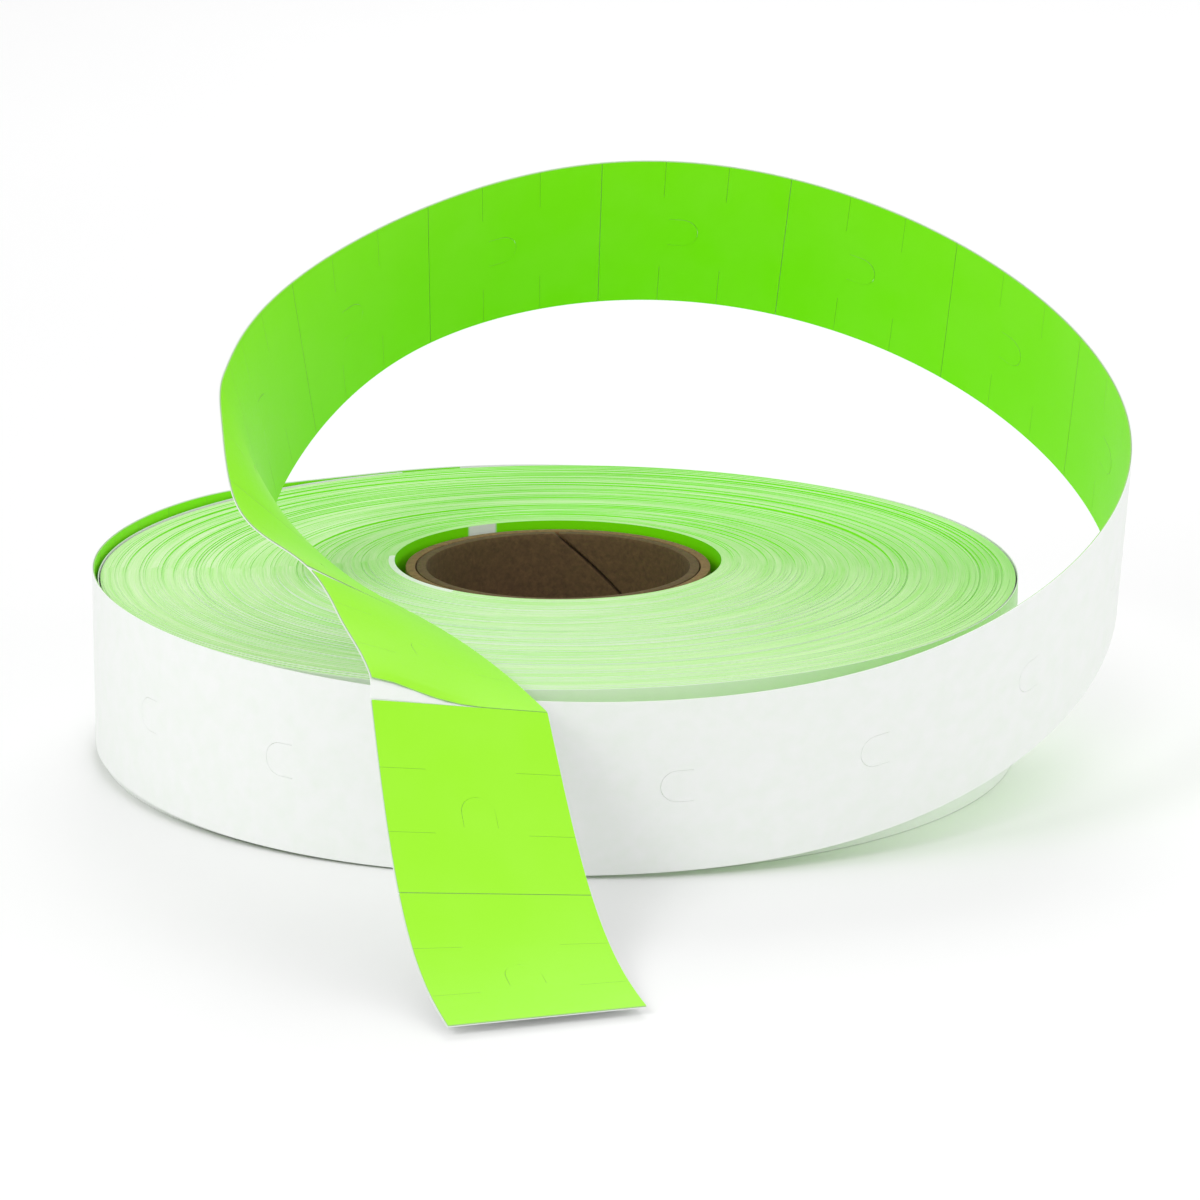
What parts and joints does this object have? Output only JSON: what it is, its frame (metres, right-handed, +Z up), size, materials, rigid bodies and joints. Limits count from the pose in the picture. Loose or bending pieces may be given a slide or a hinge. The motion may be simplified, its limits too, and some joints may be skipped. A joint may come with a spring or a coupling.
{
  "type": "price label roll",
  "caption": "Roll of green die-cut price labels on a white liner, wound on a kraft core, its loose outer turn looped over the roll and folded down in front",
  "frame": {"origin": "the roll's axis at the height of the table it stands on", "axes": "+Z up along the roll's axis; -Y towards the free end of the tape; +X to the right seen from the free end"},
  "size_m": [0.1267, 0.1694, 0.067],
  "materials": {
    "label_green": "bright green coated label paper, satin",
    "liner_white": "white glassine release liner, faintly glossy",
    "tape_edge": "slit edges of the wound tape, fine rings of white liner and green label",
    "core_board": "brown kraft board, matt, spiral wound"
  },
  "bodies": {
    "roll": {"core_inner_ply": "core_board", "core_outer_ply": "core_board", "wound_tape": "tape_edge"},
    "web": {"web_liner": "liner_white", "label_01": "label_green", "label_02": "label_green", "label_03": "label_green", "label_04": "label_green", "label_05": "label_green", "label_06": "label_green", "label_07": "label_green", "label_08": "label_green", "label_09": "label_green", "label_10": "label_green", "label_11": "label_green", "label_12": "label_green", "label_13": "label_green", "label_14": "label_green", "label_15": "label_green", "label_16": "label_green", "label_17": "label_green", "label_18": "label_green", "label_19": "label_green", "label_20": "label_green", "label_21": "label_green"},
    "tail": {"tail_liner": "liner_white", "label_22": "label_green"},
    "end": {"end_liner": "liner_white"},
    "last_label": {"label_23": "label_green"}
  },
  "joints": [
    {"name": "roll_turn", "type": "hinge", "parent": "roll", "child": "web", "pos_m": [0, 0, 0], "axis": [0, 0, 1], "continuous": true},
    {"name": "tail_fold", "type": "hinge", "parent": "web", "child": "tail", "pos_m": [-0.01081, -0.07218, 0.02435], "axis": [0.8793, 0.4363, -0.1909], "range_deg": [-40, 45]},
    {"name": "end_fold", "type": "hinge", "parent": "tail", "child": "end", "pos_m": [-0.00673, -0.08915, 0.00801], "axis": [0.9476, 0.3002, -0.1092], "range_deg": [-30, 30]},
    {"name": "label_peel", "type": "hinge", "parent": "end", "child": "last_label", "pos_m": [-0.00669, -0.0893, 0.00793], "axis": [-0.9479, -0.2994, 0.1083], "range_deg": [0, 75]}
  ]
}
